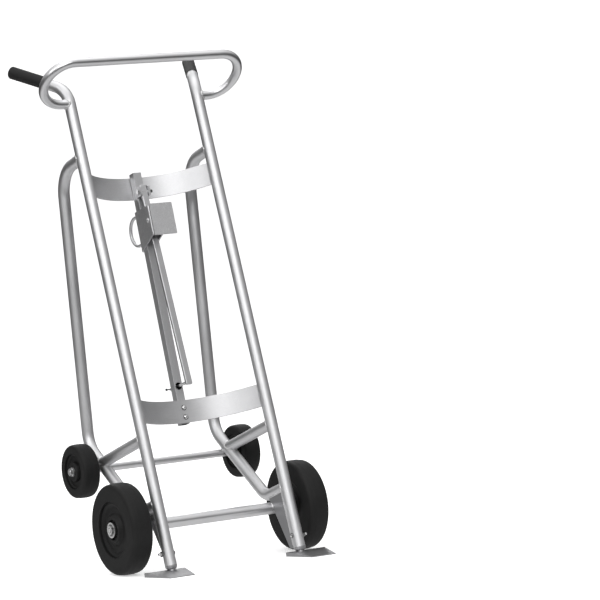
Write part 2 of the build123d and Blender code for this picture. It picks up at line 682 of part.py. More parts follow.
def both_faces(half_outline):
    """Closes a half outline of (x, radius) points with its mirror image and revolves it."""
    return revolve_profile(half_outline + [(-x, r) for x, r in reversed(half_outline)])


def bearing_sleeve(bore_r, outer_r, half):
    return both_faces([(half, bore_r), (half, outer_r)])


def main_wheel():
    """Main wheel about X at the origin: tyre, hub, bearing and how far the hub's boss stands out."""
    half = MAIN_WHEEL_W / 2
    seat_r = 78.0
    web = 25.5  # half thickness of the hub at the tyre
    crown = 1.6
    shoulder = 11.0
    rim = rounded_rim(half, seat_r, MAIN_WHEEL_R - crown, MAIN_WHEEL_R, shoulder)
    tyre = both_faces(rim)

    bearing_r = 17.5
    boss_r = 21.0
    recess = 23.0  # floor of the groove round the boss
    lip = 29.5
    lip_in = 28.5
    lip_out = 36.5
    dish = 20.0
    dish_in = 46.5
    dish_out = 64.0
    draft = 1.5
    hub = both_faces(
        [
            (half, bearing_r),
            (half, boss_r),
            (recess, boss_r + draft),
            (recess, lip_in - draft),
            (lip, lip_in),
            (lip, lip_out),
            (dish, dish_in),
            (dish, dish_out),
            (web, seat_r - 4 * draft),
            (web, seat_r),
        ]
    )
    return tyre, hub, bearing_sleeve(MAIN_AXLE_D / 2 + AXLE_RUN, bearing_r, half), half


def rear_wheel():
    """Rear wheel about X at the origin: tyre, hub, bearing and how far the hub's boss stands out."""
    half = REAR_WHEEL_W / 2
    seat_r = 50.0
    web = 19.0
    crown = 1.0
    shoulder = 9.0
    tyre = both_faces(rounded_rim(half, seat_r, REAR_WHEEL_R - crown, REAR_WHEEL_R, shoulder))

    bearing_r = 13.5
    boss_r = 25.0
    dish = 16.0
    draft = 2.0
    hub = both_faces(
        [
            (half, bearing_r),
            (half, boss_r),
            (half - draft, boss_r + draft),
            (dish, boss_r + 2 * draft),
            (dish, seat_r - 3 * draft),
            (web, seat_r - 1.5 * draft),
            (web, seat_r),
        ]
    )
    return tyre, hub, bearing_sleeve(REAR_AXLE_D / 2 + AXLE_RUN, bearing_r, half), half


def make_wheel_set(prefix, shapes, wheel_x, axle):
    """The same wheel at both ends of an axle, mirrored so that outer faces look outwards."""
    for name, side in SIDES.items():
        for label, shape in zip(("tyre", "hub", "bearing"), shapes):
            placed = Pos(wheel_x, *axle) * shape
            if side < 0:
                placed = mirrored(placed)
            add(f"{prefix}_{label}_{name}", placed)


def make_axle(prefix, axle, axle_d, stub_d, stub_proud, inner_face, outer_face, washer_d, nut_af, nut_h):
    """A through axle with a washer each side of each wheel and a nut at each end."""
    washer_in = inner_face - END_PLAY - WASHER_T
    washer_out = outer_face + END_PLAY
    nut_face = washer_out + WASHER_T
    end = nut_face + nut_h + stub_proud
    shaft = drum_x(-nut_face, nut_face, axle_d, *axle)
    add(prefix + "_axle", shaft + drum_x(-end, end, stub_d, *axle))
    washers = []
    nuts = []
    for side in (-1, 1):
        for face in (washer_in, washer_out):
            turn = Location((side * face, *axle), (0, 90 * side, 0))
            washers.append(turn * ring(washer_d, axle_d, WASHER_T))
        nuts.append(nut_at(side * nut_face, side, nut_af, nut_h, stub_d, *axle))
    add(prefix + "_axle_washers", Compound(children=washers))
    add(prefix + "_axle_nuts", Compound(children=nuts))


def make_running_gear():
    add("front_axle_tube", main_tube_solid - drum_x(-MAIN_WHEEL_X, MAIN_WHEEL_X, MAIN_TUBE_ID, *MAIN_AXLE))
    add("rear_axle_tube", rear_tube_solid - drum_x(-REAR_WHEEL_X, REAR_WHEEL_X, REAR_TUBE_ID, *REAR_AXLE))
    sleeves = []
    for side in (-1, 1):
        turn = Location((side * (MAIN_TUBE_END - MAIN_SLEEVE), *MAIN_AXLE), (0, 90 * side, 0))
        sleeves.append(turn * ring(MAIN_TUBE_ID, MAIN_AXLE_D, MAIN_SLEEVE))
    add("front_axle_sleeves", Compound(children=sleeves))

    *shapes, boss = main_wheel()
    make_wheel_set("main_wheel", shapes, MAIN_WHEEL_X, MAIN_AXLE)
    inner = MAIN_WHEEL_X - MAIN_WHEEL_W / 2
    outer = MAIN_WHEEL_X + boss
    stub = (MAIN_STUB_D, MAIN_STUB_PROUD)
    nut = (MAIN_NUT_AF, MAIN_NUT_H)
    make_axle("front", MAIN_AXLE, MAIN_AXLE_D, *stub, inner, outer, MAIN_WASHER_D, *nut)

    *shapes, boss = rear_wheel()
    make_wheel_set("rear_wheel", shapes, REAR_WHEEL_X, REAR_AXLE)
    inner = REAR_WHEEL_X - REAR_WHEEL_W / 2
    outer = REAR_WHEEL_X + boss
    stub = (REAR_STUB_D, REAR_STUB_PROUD)
    nut = (REAR_NUT_AF, REAR_NUT_H)
    make_axle("rear", REAR_AXLE, REAR_AXLE_D, *stub, inner, outer, REAR_WASHER_D, *nut)


# ---------------------------------------------------------------- build and write
def main():
    rails = []
    for name, side in SIDES.items():
        toe = make_toe(name, side)
        rails.append(make_side_frame(name, side, toe))
    make_loop(rails)
    make_toe_fasteners()
    make_bands_and_bar(rails)
    make_clevis()
    make_lock_bar()
    make_carriage()
    make_running_gear()

    os.makedirs("parts", exist_ok=True)
    for name, shape in parts.items():
        export_step(shape, f"parts/{name}.step")
    boxes = [shape.bounding_box() for shape in parts.values()]
    low = [min(getattr(b.min, k) for b in boxes) for k in "XYZ"]
    high = [max(getattr(b.max, k) for b in boxes) for k in "XYZ"]
    print(len(parts), "nodes, box", [round(v, 2) for v in low], [round(v, 2) for v in high])
    print("main axle", MAIN_AXLE, "rear axle", REAR_AXLE)
    print("pivot", LOCK_FRAME.position, "bar lean", BAR_LEAN)


main()
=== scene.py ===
"""Looks for the drum dolly: materials, weld beads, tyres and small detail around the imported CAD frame.

Metres, in the frame of the CAD model: +X right and -Y towards the drum, +Z up, the floor at z = 0.
"""
import json
import math

import bmesh
import bpy
from mathutils import Matrix, Vector
from mathutils.bvhtree import BVHTree


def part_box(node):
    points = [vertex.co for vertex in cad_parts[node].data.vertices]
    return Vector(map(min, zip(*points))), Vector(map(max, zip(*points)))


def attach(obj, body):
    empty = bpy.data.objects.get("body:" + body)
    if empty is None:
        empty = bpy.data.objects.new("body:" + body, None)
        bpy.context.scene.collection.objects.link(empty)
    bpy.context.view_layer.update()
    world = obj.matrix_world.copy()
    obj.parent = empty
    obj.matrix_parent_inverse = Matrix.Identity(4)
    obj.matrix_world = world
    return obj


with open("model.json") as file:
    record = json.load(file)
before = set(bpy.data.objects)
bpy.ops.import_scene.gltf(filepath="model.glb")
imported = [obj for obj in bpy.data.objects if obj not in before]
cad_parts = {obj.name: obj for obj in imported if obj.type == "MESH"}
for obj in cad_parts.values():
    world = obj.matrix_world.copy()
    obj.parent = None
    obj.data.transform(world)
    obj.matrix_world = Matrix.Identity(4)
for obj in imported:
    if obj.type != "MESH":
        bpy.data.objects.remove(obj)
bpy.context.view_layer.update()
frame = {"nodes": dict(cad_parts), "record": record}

NODES = frame["nodes"]

# ---------------------------------------------------------------- dimensions shared with the CAD
RAIL_X = 0.2053
RAIL_R = 0.0167
BRACE_R = 0.015875
LOOP_R = 0.01335
FOOT_Y = -0.23365
FOOT_Z = 0.012
LEAN = math.radians(15.93)
LEG_TOP = 1.1866
LEG_BOTTOM = 0.1841
BRACE_AT = 0.3686
GUSSET_INSET = 0.0095
GUSSET_T = 0.00635
GUSSET_TOP = 0.1735
GUSSET_LOW = 0.019
GUSSET_BACK = 0.084
MAIN_AXLE = Vector((0, -0.10805, 0.127))
REAR_AXLE = Vector((0, 0.15195, 0.27646951))
REAR_TUBE_R = 0.0111
DIAGONAL_SLOPE = math.radians(34.2)
BAND_R = 0.2405
BAND_T = 0.0048
BAND_DEPTH = 0.1057
BAND_H = 0.065
BAND_MIDDLES = {"lower": 0.4547, "upper": 1.1137}
PIVOT_FOOT = Vector((0, 0.1548765, 1.0377553))
BAR_LEAN = math.radians(12.987205743504303)
BAR_HALF = 0.0127
# faces inside the guide bar get painted shade in hollow_bar
BAR_INSIDE = 0.0112  # faces nearer the bar's axis than this are inside it
SCREW_SHIFTS = (-0.0163, 0.0107)  # from each band's middle, up the rails
NECK_T = 0.0095
NECK_FRONT = 0.107
SLEEVE_FRONT = 0.069
NECK_TOP = 0.0585
NECK_BOTTOM = 0.1305
SLEEVE_BACK = 0.0178
PULL_TOP = 0.0566
PULL_BOTTOM = 0.1381
PULL_ROD_R = 0.00475
CLEVIS_UP = 0.0165
CLEVIS_DOWN = 0.0135
PIVOT_OFFSET = 0.030
PIVOT_BOLT_R = 0.0047625
PIVOT_NUT_H = 0.0083
PIVOT_PROUD = 0.0025
LOCK_HALF = 0.010
EAR_GAP = 0.0008
EAR_T = 0.0048
COTTER_R = 0.0016
COTTER_SPAN = 0.036
COTTER_EYE_R = 0.0024
COTTER_BEND = 0.006
COTTER_SPREAD = 75  # degrees that each leg's end is bent out
TOE_BOLT_R = 0.00397
TOE_BOLT_AT = 0.045
TOE_BOLT_REACH = 0.0145
TOE_NUT_H = 0.007
TOE_BOLT_TIP = 0.0024  # plain past the thread
LOOP_END_X = 0.2700  # the loop handle's ends run in to the rails from here, along X
LOOP_END_YZ = (0.13375, 1.30617)
RAIL_DIR = Vector((0, math.sin(LEAN), math.cos(LEAN)))
RAIL_BACK = Vector((0, math.cos(LEAN), -math.sin(LEAN)))
BAR_DIR = Vector((0, math.sin(BAR_LEAN), math.cos(BAR_LEAN)))
BAR_BACK = Vector((0, math.cos(BAR_LEAN), -math.sin(BAR_LEAN)))
X_DIR = Vector((1, 0, 0))
SIDES = {"left": -1, "right": 1}

# ---------------------------------------------------------------- weld beads: radii and places
TUBE_BEAD = 0.0030
GUSSET_BEAD = 0.0021
SADDLE_BEAD = 0.0024
BAND_BEAD = 0.0020
CLEVIS_BEAD = 0.0022
HOOK_BEAD = 0.0042
PULL_BEAD = 0.0032
COPE = 0.985  # a bead's ring, as a share of the tube's radius, so that it lies in the corner
STANDOFF = 0.06  # how far behind the rail the search for its surface starts
BRACE_MIDDLE = 0.17  # from the rail's axis to a point in the brace's run
BRACE_REACH = 0.16
LEG_BEAD_START = 0.018  # behind the rail's axis, under the bottom leg
AXLE_ARC = (180, 112)  # degrees round the axle tube, from its front to near its top
SADDLE_HALF_WIDTH = 0.0098
SADDLE_HALF_LENGTH = 0.0078
BAND_BEAD_INSET = 0.0015  # short of the band's edges
CLEVIS_BEAD_INSET = 0.001  # short of the clevis plates' ends
CLEVIS_BEAD_OUT = 0.0004  # outside the guide bar's sides
CLEVIS_BEAD_BACK = 0.0008  # behind the clevis's corner
HOOK_BEAD_OFF = 0.0006  # off the sleeve's and the blade's faces
HOOK_BEAD_RIPPLE = 0.4
NECK_BEAD_PITCH = 0.0055
PULL_BEAD_PITCH = 0.0045
SAMPLES_PER_RIPPLE = 6

# ---------------------------------------------------------------- painted shade in rings round fastener axes: (radius in metres, brightness)
MAIN_AXLE_SHADE_RINGS = [
    (0.0055, 0.9),
    (0.0070, 0.05),
    (0.0090, 1.0),
    (0.0115, 0.9),
    (0.0135, 0.03),
    (0.0165, 0.35),
    (0.0200, 0.95),
]
REAR_AXLE_SHADE_RINGS = [(0.0060, 1.0), (0.0068, 0.25), (0.0076, 1.0), (0.0104, 1.0), (0.0114, 0.2), (0.0124, 0.6)]
SCREW_SHADE_RINGS = [(0.0050, 1.0), (0.0066, 0.1), (0.0080, 0.0)]
TOE_BOLT_SHADE_RINGS = [(0.0038, 1.0), (0.0055, 0.25), (0.0072, 0.02)]

# ---------------------------------------------------------------- camera and studio
CAMERA_AT = (-4.5960, -8.3642, 1.0343)
CAMERA_AZIMUTH = -30.903
CAMERA_ELEVATION = 1.976
CAMERA_ROLL = -4.710
CAMERA_LENS = 203.85
SENSOR = 36.0


def aim(azimuth, elevation, roll=0.0):
    """Rotation of a camera or light that looks along an azimuth and down by an elevation, in degrees."""
    turn = Matrix.Rotation(math.radians(azimuth), 4, "Z")
    tilt = Matrix.Rotation(math.radians(90 - elevation), 4, "X")
    spin = Matrix.Rotation(math.radians(roll), 4, "Z")
    return turn @ tilt @ spin


def add_camera():
    data = bpy.data.cameras.new("camera")
    data.lens = CAMERA_LENS
    data.sensor_width = SENSOR
    data.clip_end = 100.0
    camera = bpy.data.objects.new("camera", data)
    camera.matrix_world = Matrix.Translation(CAMERA_AT) @ aim(CAMERA_AZIMUTH, CAMERA_ELEVATION, CAMERA_ROLL)
    bpy.context.scene.collection.objects.link(camera)
    bpy.context.scene.camera = camera


def add_light(name, at, azimuth, elevation, size, energy):
    """A soft panel. Its size is (width, height) in metres, and its energy is in watts."""
    data = bpy.data.lights.new(name, "AREA")
    data.shape = "RECTANGLE"
    data.size, data.size_y = size
    data.energy = energy
    light = bpy.data.objects.new(name, data)
    light.matrix_world = Matrix.Translation(at) @ aim(azimuth, elevation)
    light.visible_camera = False
    bpy.context.scene.collection.objects.link(light)


# ---------------------------------------------------------------- material helpers
class Nodes:
    """Builds one material's node tree."""

    def __init__(self, name):
        self.material = bpy.data.materials.new(name)
        self.material.use_nodes = True
        self.tree = self.material.node_tree
        self.shader = self.tree.nodes["Principled BSDF"]

    def add(self, kind, settings=None, **inputs):
        """A node of this kind. Inputs are numbers, colours or other nodes' output sockets."""
        node = self.tree.nodes.new("ShaderNode" + kind)
        for key, value in (settings or {}).items():
            setattr(node, key, value)
        for key, value in inputs.items():
            self.put(node, key.replace("_", " "), value)
        return node

    def put(self, node, key, value):
        socket = node.inputs[int(key)] if key.isdigit() else node.inputs[key]
        if isinstance(value, bpy.types.NodeSocket):
            self.tree.links.new(value, socket)
        else:
            socket.default_value = value

    def coords(self, scale=(1, 1, 1), turn=(0, 0, 0)):
        """Object coordinates, which are the model's own frame, turned and scaled."""
        source = self.add("TexCoord").outputs["Object"]
        mapping = self.add("Mapping", {"vector_type": "POINT"}, Vector=source, Scale=scale, Rotation=turn)
        return mapping.outputs["Vector"]

    def noise(self, vector, scale, detail=3.0, rough=0.5):
        node = self.add("TexNoise", Vector=vector, Scale=scale, Detail=detail, Roughness=rough)
        return node.outputs["Fac"]

    def ramp(self, value, stops):
        """Maps a value to grey or colour through (position, grey or colour) stops."""
        node = self.add("ValToRGB", Fac=value)
        elements = node.color_ramp.elements
        while len(elements) < len(stops):
            elements.new(0.5)
        for element, (position, colour) in zip(elements, stops):
            element.position = position
            if not isinstance(colour, tuple):
                colour = (colour, colour, colour)
            element.color = (*colour, 1)
        return node.outputs["Color"]

    def mix(self, factor, a, b, mode="MIX"):
        node = self.add("Mix", {"data_type": "RGBA", "blend_type": mode})
        self.put(node, "0", factor)
        for key, value in (("6", a), ("7", b)):
            if isinstance(value, tuple) and len(value) == 3:
                value = (*value, 1)
            self.put(node, key, value)
        return node.outputs[2]

    def span(self, value, low, high):
        """Maps 0..1 to low..high."""
        return self.add("MapRange", Value=value, To_Min=low, To_Max=high).outputs["Result"]

    def math(self, operation, a, b):
        node = self.add("Math", {"operation": operation})
        self.put(node, "0", a)
        self.put(node, "1", b)
        return node.outputs["Value"]

    def bump(self, height, strength, distance, normal=None):
        node = self.add("Bump", Height=height, Strength=strength, Distance=distance)
        if normal is not None:
            self.put(node, "Normal", normal)
        return node.outputs["Normal"]

    def finish(self, **inputs):
        for key, value in inputs.items():
            self.put(self.shader, key.replace("_", " "), value)
        return self.material


def metal(name, colour, rough, streak_turn=(0, 0, 0), streak=(1, 1, 1), wear=0.5, stain=0.12, relief=0.10):
    """Satin metal: cloudy tone, streaks drawn out along one direction, and a light grain.

    The streaks are stretched on the axis whose scale is small, after a turn into the piece's own direction.
    """
    n = Nodes(name)
    where = n.coords()
    along = n.coords(scale=streak, turn=streak_turn)
    cloud = n.noise(where, 9.0, 4.0, 0.6)
    lines = n.noise(along, 420.0, 3.0, 0.55)
    grain = n.noise(where, 1900.0, 2.0, 0.5)
    dark = tuple(c * (1 - stain) for c in colour)
    light = tuple(min(1.0, c * (1 + stain * 0.5)) for c in colour)
    tone = n.mix(n.ramp(cloud, [(0.3, 0.0), (0.7, 1.0)]), dark, light)
    tone = n.mix(n.span(lines, 0.0, wear * 0.3), tone, tuple(c * 0.6 for c in colour))
    roughness = n.math("ADD", n.span(cloud, rough - 0.04, rough + 0.05), n.span(lines, -0.05, 0.07))
    normal = n.bump(lines, relief, 0.0004)
    normal = n.bump(grain, relief * 0.6, 0.0002, normal)
    return n.finish(Base_Color=tone, Metallic=1.0, Roughness=roughness, Normal=normal)


def ring_shaded(name, colour, rough, across, turn, centres, reach, rings):
    """Metal with painted shade in dark rings round one or more axes, for the gaps between parts.

    The axes pass through the centres, in the plane of the two axes named in across, after the turn.
    """
    n = Nodes(name)
    place = n.add("SeparateXYZ", Vector=n.coords(turn=turn)).outputs
    nearest = None
    for u, v in centres:
        du = n.math("SUBTRACT", place[across[0]], u)
        dv = n.math("SUBTRACT", place[across[1]], v)
        square = n.math("ADD", n.math("MULTIPLY", du, du), n.math("MULTIPLY", dv, dv))
        distance = n.math("POWER", square, 0.5)
        nearest = distance if nearest is None else n.math("MINIMUM", nearest, distance)
    shade = n.ramp(n.math("DIVIDE", nearest, reach), [(radius / reach, grey) for radius, grey in rings])
    grain = n.noise(n.coords(), 900.0, 3.0, 0.55)
    # painted shade: where the rings' brightness is low, the tone goes towards near black
    tone = n.mix(shade, tuple(c * 0.05 for c in colour), colour)
    tone = n.mix(n.span(grain, 0.0, 0.3), tone, tuple(c * 0.5 for c in colour))
    roughness = n.span(grain, rough - 0.05, rough + 0.10)
    return n.finish(Base_Color=tone, Metallic=1.0, Roughness=roughness, Normal=n.bump(grain, 0.06, 0.0002))


def hollow_bar(name, colour, rough):
    """Dull zinc with pale specks on the guide bar, whose inside is painted near black as shade."""
    n = Nodes(name)
    where = n.coords()
    turned = n.add("SeparateXYZ", Vector=n.coords(turn=(BAR_LEAN, 0, 0))).outputs
    middle = BAR_BACK.dot(PIVOT_FOOT)
    aside = n.math("ABSOLUTE", turned["X"], 0.0)
    back = n.math("ABSOLUTE", n.math("SUBTRACT", turned["Y"], middle), 0.0)
    inside_shade = n.math("LESS_THAN", n.math("MAXIMUM", aside, back), BAR_INSIDE)
    lines = n.noise(n.coords(scale=(1, 1, 0.03), turn=(BAR_LEAN, 0, 0)), 420.0, 3.0, 0.55)
    specks = n.noise(where, 480.0, 2.0, 0.5)
    tone = n.mix(n.span(lines, 0.0, 0.3), colour, tuple(c * 0.6 for c in colour))
    tone = n.mix(n.ramp(specks, [(0.66, 0.0), (0.76, 0.6)]), tone, (0.92, 0.92, 0.92))
    # painted shade: faces inside the hollow bar, found by their distance from its axis, are coloured near
    # black
    tone = n.mix(inside_shade, tone, (0.01, 0.01, 0.01))
    roughness = n.span(lines, rough - 0.04, rough + 0.08)
    return n.finish(Base_Color=tone, Metallic=1.0, Roughness=roughness, Normal=n.bump(lines, 0.10, 0.0004))


def galvanised(name, colour, rough):
    """Hot dipped zinc: angular grains of slightly different tone, drips down the steel and pale specks."""
    n = Nodes(name)
    where = n.coords()
    grains = n.add("TexVoronoi", Vector=where, Scale=520.0)
    grain_tone = n.add("SeparateColor", Color=grains.outputs["Color"]).outputs["Red"]
    cloud = n.noise(where, 26.0, 4.0, 0.6)
    drips = n.noise(n.coords(scale=(1, 1, 0.16), turn=(-BAR_LEAN, 0, 0)), 300.0, 3.0, 0.6)
    specks = n.noise(where, 620.0, 2.0, 0.5)
    tone = n.mix(grain_tone, tuple(c * 0.93 for c in colour), tuple(min(1.0, c * 1.06) for c in colour))
    tone = n.mix(n.ramp(cloud, [(0.35, 0.0), (0.7, 0.3)]), tone, tuple(c * 0.8 for c in colour))
    tone = n.mix(n.ramp(drips, [(0.62, 0.0), (0.72, 0.7)]), tone, (0.95, 0.95, 0.95))
    tone = n.mix(n.ramp(specks, [(0.66, 0.0), (0.74, 0.8)]), tone, (0.96, 0.96, 0.96))
    roughness = n.span(grain_tone, rough - 0.03, rough + 0.05)
    normal = n.bump(drips, 0.15, 0.0006)
    normal = n.bump(grain_tone, 0.03, 0.0002, normal)
    return n.finish(Base_Color=tone, Metallic=1.0, Roughness=roughness, Normal=normal)


def rubber(name, colour, rough, dust):
    """Moulded black rubber or plastic with a fine texture and a little dust."""
    n = Nodes(name)
    where = n.coords()
    cloud = n.noise(where, 14.0, 5.0, 0.6)
    grain = n.noise(where, 1400.0, 2.0, 0.6)
    worn = tuple(min(1.0, c + 0.2 * dust) for c in colour)
    tone = n.mix(n.ramp(cloud, [(0.42, 0.0), (0.75, 1.0)]), colour, worn)
    roughness = n.span(cloud, rough - 0.06, rough + 0.08)
    normal = n.bump(grain, 0.18, 0.0004)
    return n.finish(Base_Color=tone, Roughness=roughness, Normal=normal, Specular_IOR_Level=0.3)


def floor_material():
    n = Nodes("studio_floor")
    cloud = n.noise(n.coords(), 3.0, 3.0, 0.5)
    tone = n.mix(cloud, (0.90, 0.90, 0.90), (0.93, 0.93, 0.93))
    return n.finish(Base_Color=tone, Roughness=0.9, Emission_Color=(1, 1, 1, 1), Emission_Strength=0.45)


def bounce_material():
    n = Nodes("studio_bounce")
    white = (1, 1, 1, 1)
    return n.finish(Base_Color=(0, 0, 0, 1), Roughness=1.0, Emission_Color=white, Emission_Strength=0.7)


# ---------------------------------------------------------------- mesh helpers
def new_object(name, mesh, body, material):
    obj = bpy.data.objects.new(name, mesh)
    bpy.context.scene.collection.objects.link(obj)
    mesh.materials.append(material)
    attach(obj, body)


def surface_of(name):
    """A search tree over a CAD node's faces, for finding where a weld lies."""
    mesh = NODES[name].data
    vertices = [v.co for v in mesh.vertices]
    faces = [tuple(p.vertices) for p in mesh.polygons]
    return BVHTree.FromPolygons(vertices, faces)


def make_bead(points, closed, radius, name, body, material, pitch=0.0030, ripple=0.16, flat=0.8):
    """A weld bead: a string along the points, with a ripple at every pitch.

    The ripple is how much each one swells, and flat is the bead's height as a share of its width.
    """
    sides = 10
    runs = []
    total = 0.0
    count = len(points)
    for i in range(count if closed else count - 1):
        runs.append((total, points[i], points[(i + 1) % count]))
        total += (points[(i + 1) % count] - points[i]).length
    ripples = max(2, round(total / pitch))
    samples = ripples * SAMPLES_PER_RIPPLE
    centres = []
    run = 0
    for k in range(samples if closed else samples + 1):
        s = total * k / samples
        while run + 1 < len(runs) and runs[run + 1][0] <= s:
            run += 1
        start, a, b = runs[run]
        length = (b - a).length or 1e-9
        centres.append(a.lerp(b, min(1.0, (s - start) / length)))
    middle = sum(centres, Vector()) / len(centres)
    bm = bmesh.new()
    rings = []
    n = len(centres)
    for k, centre in enumerate(centres):
        before = centres[k - 1] if (closed or k) else centres[0]
        after = centres[(k + 1) % n] if (closed or k + 1 < n) else centres[-1]
        tangent = (after - before).normalized()
        out = centre - middle
        out -= tangent * out.dot(tangent)
        if out.length < 1e-7:
            out = tangent.orthogonal()
        out.normalize()
        side = tangent.cross(out)
        phase = (k / SAMPLES_PER_RIPPLE) % 1.0
        swell = 1.0 + ripple * (phase - 0.5) + 0.05 * math.sin(k * 0.37) + 0.04 * math.sin(k * 0.113 + 1.7)
        if not closed:
            end = min(k, n - 1 - k) / SAMPLES_PER_RIPPLE
            swell *= min(1.0, 0.35 + 0.65 * end)
        row = []
        for j in range(sides):
            angle = 2 * math.pi * j / sides
            offset = out * math.cos(angle) * flat + side * math.sin(angle)
            row.append(bm.verts.new(centre + offset * radius * swell))
        rings.append(row)
    for k in range(n if closed else n - 1):
        here, there = rings[k], rings[(k + 1) % n]
        for j in range(sides):
            following = (j + 1) % sides
            bm.faces.new((here[j], here[following], there[following], there[j]))
    if not closed:
        bm.faces.new(list(reversed(rings[0])))
        bm.faces.new(rings[-1])
    bmesh.ops.recalc_face_normals(bm, faces=bm.faces)
    mesh = bpy.data.meshes.new(name)
    bm.to_mesh(mesh)
    bm.free()
    for polygon in mesh.polygons:
        polygon.use_smooth = True
    new_object(name, mesh, body, material)


def on_rail(side, along, back=0.0):
    """A point by a rail's axis: along it from its foot, and square back from it."""
    return Vector((side * RAIL_X, FOOT_Y, FOOT_Z)) + RAIL_DIR * along + RAIL_BACK * back


def joint_ring(centre, direction, radius, tree, reach=0.08, count=72):
    """Where the surface of a tube that runs along a direction meets another piece."""
    direction = direction.normalized()
    u = direction.orthogonal().normalized()
    v = direction.cross(u)
    points = []
    for i in range(count):
        angle = 2 * math.pi * i / count
        start = centre + (u * math.cos(angle) + v * math.sin(angle)) * radius
        hit = tree.ray_cast(start, direction, reach)
        if hit[0] is None:
            near = tree.find_nearest(start + direction * reach * 0.5)[0]
            points.append(start + direction * (near - start).dot(direction))
        else:
            points.append(hit[0])
    return points


# ---------------------------------------------------------------- materials on the CAD nodes
UP_THE_RAIL = (LEAN, 0, 0)
NO_TURN = (0, 0, 0)
DRAWN_UP = (1, 1, 0.02)
ROLLED_UP = (1, 1, 0.03)
DRAWN_ACROSS = (0.02, 1, 1)
ROLLED_ACROSS = (0.03, 1, 1)

tube_metal = metal("tube_metal", (0.75, 0.75, 0.76), 0.46, UP_THE_RAIL, DRAWN_UP, wear=0.3, stain=0.06)
cross_metal = metal("cross_metal", (0.80, 0.80, 0.81), 0.35, NO_TURN, DRAWN_ACROSS, wear=0.3, stain=0.06)
tube_bright = metal(
    "tube_bright", (0.76, 0.76, 0.77), 0.34, NO_TURN, DRAWN_ACROSS, wear=0.15, stain=0.06, relief=0.02
)
band_metal = metal("band_metal", (0.70, 0.70, 0.71), 0.46, NO_TURN, ROLLED_ACROSS, wear=0.9, stain=0.10)
bar_metal = metal("bar_metal", (0.63, 0.63, 0.64), 0.50, UP_THE_RAIL, ROLLED_UP, wear=0.4, stain=0.10)
lock_metal = metal("lock_metal", (0.62, 0.62, 0.63), 0.40, UP_THE_RAIL, ROLLED_UP, wear=0.4, stain=0.10)
# painted shade: the gusset aluminium is coloured much darker than the tubes, for the shade and the wheels'
# dark reflection on the plates
gusset_metal = metal("gusset_metal", (0.34, 0.34, 0.35), 0.36, UP_THE_RAIL, wear=0.4, stain=0.10)
toe_metal = metal("toe_metal", (0.49, 0.49, 0.50), 0.42, wear=0.4, stain=0.12)
cotter_metal = metal("cotter_metal", (0.14, 0.14, 0.14), 0.40, wear=0.3, stain=0.12)
rod_metal = metal("rod_metal", (0.86, 0.86, 0.86), 0.26, wear=0.3, stain=0.08)
bright_metal = metal("bright_metal", (0.80, 0.80, 0.80), 0.16, wear=0.2, stain=0.06)
weld_metal = metal("weld_metal", (0.80, 0.80, 0.80), 0.34, wear=0.3, stain=0.15)
hook_weld = metal("hook_weld", (0.92, 0.92, 0.92), 0.24, wear=0.3, stain=0.25)
zinc_metal = galvanised("zinc_metal", (0.72, 0.72, 0.73), 0.50)
guide_metal = hollow_bar("guide_metal", (0.68, 0.68, 0.69), 0.50)
tyre_rubber = rubber("tyre_rubber", (0.0065, 0.0065, 0.0065), 0.66, 0.02)
hub_plastic = rubber("hub_plastic", (0.004, 0.004, 0.004), 0.55, 0.01)
grip_vinyl = rubber("grip_vinyl", (0.010, 0.010, 0.010), 0.62, 0.02)

# the axle, nut, washer, screw and toe bolt metals below carry rings of painted shade
main_axle_metal = ring_shaded(
    "main_axle_metal",
    (0.92, 0.92, 0.92),
    0.26,
    across="YZ",
    turn=NO_TURN,
    centres=[(MAIN_AXLE.y, MAIN_AXLE.z)],
    reach=0.024,
    rings=MAIN_AXLE_SHADE_RINGS,
)
rear_axle_metal = ring_shaded(
    "rear_axle_metal",
    (0.96, 0.96, 0.96),
    0.32,
    across="YZ",
    turn=NO_TURN,
    centres=[(REAR_AXLE.y, REAR_AXLE.z)],
    reach=0.016,
    rings=REAR_AXLE_SHADE_RINGS,
)
toe_bolt_at = on_rail(1, TOE_BOLT_AT)
toe_bolt_metal = ring_shaded(
    "toe_bolt_metal",
    (0.92, 0.92, 0.92),
    0.20,
    across="YZ",
    turn=NO_TURN,
    centres=[(toe_bolt_at.y, toe_bolt_at.z)],
    reach=0.010,
    rings=TOE_BOLT_SHADE_RINGS,
)
# turned up the rail, a rail's foot is at this height, and the band screws are on X = 0
foot_height = RAIL_DIR.dot(Vector((0, FOOT_Y, FOOT_Z)))
screw_rows = [middle + shift for middle in BAND_MIDDLES.values() for shift in SCREW_SHIFTS]
screw_metal = ring_shaded(
    "screw_metal",
    (0.84, 0.84, 0.84),
    0.22,
    across="XZ",
    turn=UP_THE_RAIL,
    centres=[(0.0, foot_height + along) for along in screw_rows],
    reach=0.010,
    rings=SCREW_SHADE_RINGS,
)

SLOT_MATERIALS = {
    "tube_aluminium": tube_metal,
    "band_aluminium": band_metal,
    "gusset_aluminium": gusset_metal,
    "toe_casting": toe_metal,
    "bar_steel": bar_metal,
    "zinc_steel": zinc_metal,
    "fastener_zinc": bright_metal,
    "bearing_steel": bar_metal,
    "hub_black": hub_plastic,
    "tyre_rubber": tyre_rubber,
    "grip_vinyl": grip_vinyl,
}
